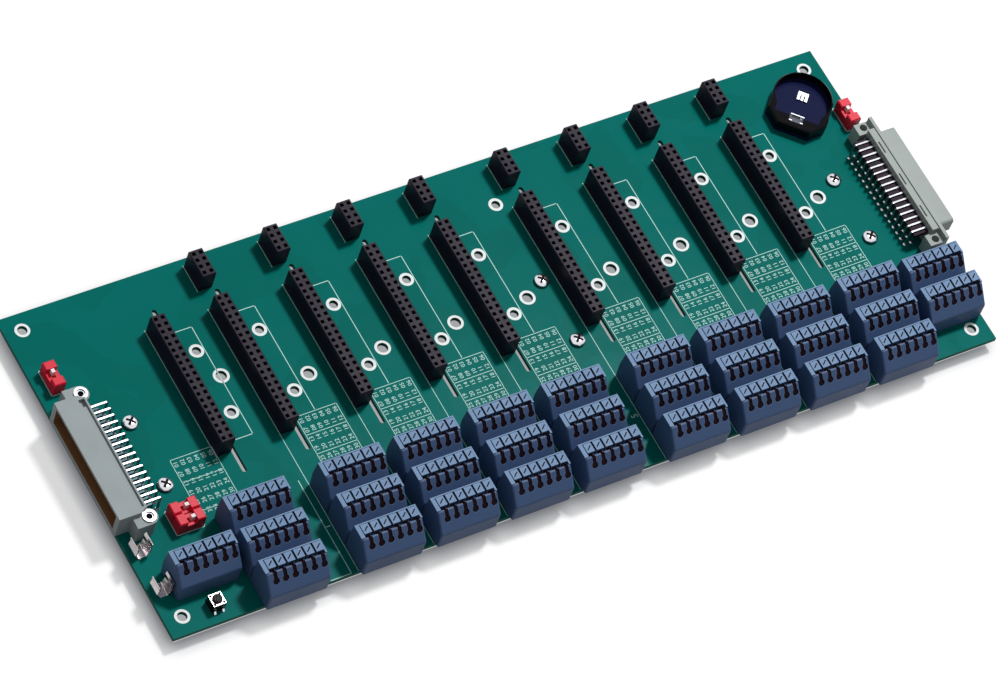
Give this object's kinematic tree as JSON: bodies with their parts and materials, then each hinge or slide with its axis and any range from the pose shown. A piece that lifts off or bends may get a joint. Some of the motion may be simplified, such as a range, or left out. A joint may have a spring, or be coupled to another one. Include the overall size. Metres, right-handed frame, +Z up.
{
  "type": "backplane board",
  "caption": "Wide teal backplane board with socket headers for upright cards, rows of push-in terminals in front, edge connectors at both ends, small red switches and an empty coin-cell holder.",
  "frame": {"origin": "centre of the corner-hole rectangle, on the board's upper face", "axes": "+X along the board's long side towards the female edge connector, +Y from the terminals' side to the small headers' side, +Z up from the board"},
  "size_m": [0.3242, 0.1287, 0.0191],
  "materials": {
    "board": "satin solder mask",
    "header_plastic": "black moulded",
    "terminal_plastic": "blue-grey moulded",
    "connector_plastic": "warm grey moulded",
    "contact_metal": "tinned",
    "switch_red": "red moulded",
    "slider_white": "white moulded",
    "black_plastic": "black moulded",
    "bright_steel": "zinc plated"
  },
  "bodies": {
    "board": {"circuit_board": "board", "host_header": "header_plastic", "slot_1_header": "header_plastic", "slot_2_header": "header_plastic", "slot_3_header": "header_plastic", "slot_4_header": "header_plastic", "slot_5_header": "header_plastic", "slot_6_header": "header_plastic", "slot_7_header": "header_plastic", "slot_8_header": "header_plastic", "slot_1_small_header": "header_plastic", "slot_2_small_header": "header_plastic", "slot_3_small_header": "header_plastic", "slot_4_small_header": "header_plastic", "slot_5_small_header": "header_plastic", "slot_6_small_header": "header_plastic", "slot_7_small_header": "header_plastic", "slot_8_small_header": "header_plastic", "power_terminal": "terminal_plastic", "aux_terminals": "terminal_plastic", "right_terminals": "terminal_plastic", "slot_1_terminals": "terminal_plastic", "slot_2_terminals": "terminal_plastic", "slot_3_terminals": "terminal_plastic", "slot_4_terminals": "terminal_plastic", "slot_5_terminals": "terminal_plastic", "slot_6_terminals": "terminal_plastic", "slot_7_terminals": "terminal_plastic", "slot_8_terminals": "terminal_plastic", "left_housing": "connector_plastic", "right_housing": "connector_plastic", "left_contacts": "contact_metal", "right_contacts": "contact_metal", "left_rivets": "contact_metal", "fuse_clips": "contact_metal", "cell_side_contact": "contact_metal", "cell_base_contact": "contact_metal", "key_legs": "contact_metal", "switch_1_body": "switch_red", "switch_2_body": "switch_red", "switch_3_body": "switch_red", "switch_4_body": "switch_red", "cell_holder": "black_plastic", "key_base": "black_plastic", "right_comb": "black_plastic", "key_cover": "bright_steel", "clip_screws": "bright_steel", "rail_clip_1": "bright_steel", "rail_clip_2": "bright_steel", "rail_clip_3": "bright_steel"},
    "slider_1": {"switch_1_slider": "slider_white"},
    "slider_2": {"switch_2_slider": "slider_white"},
    "slider_3": {"switch_3_slider": "slider_white"},
    "slider_4": {"switch_4_slider": "slider_white"},
    "button": {"key_button": "black_plastic"}
  },
  "joints": [
    {"name": "slider_1_slide", "type": "slide", "parent": "board", "child": "slider_1", "axis": [0, -1, 0], "range_m": [0, 0.0018]},
    {"name": "slider_2_slide", "type": "slide", "parent": "board", "child": "slider_2", "axis": [-1, 0, 0], "range_m": [0, 0.0018]},
    {"name": "slider_3_slide", "type": "slide", "parent": "board", "child": "slider_3", "axis": [-1, 0, 0], "range_m": [0, 0.0018]},
    {"name": "slider_4_slide", "type": "slide", "parent": "board", "child": "slider_4", "axis": [0, -1, 0], "range_m": [0, 0.0018]},
    {"name": "button_press", "type": "slide", "parent": "board", "child": "button", "axis": [0, 0, -1], "range_m": [0, 0.00025], "stiffness_N_per_m": 6400}
  ]
}
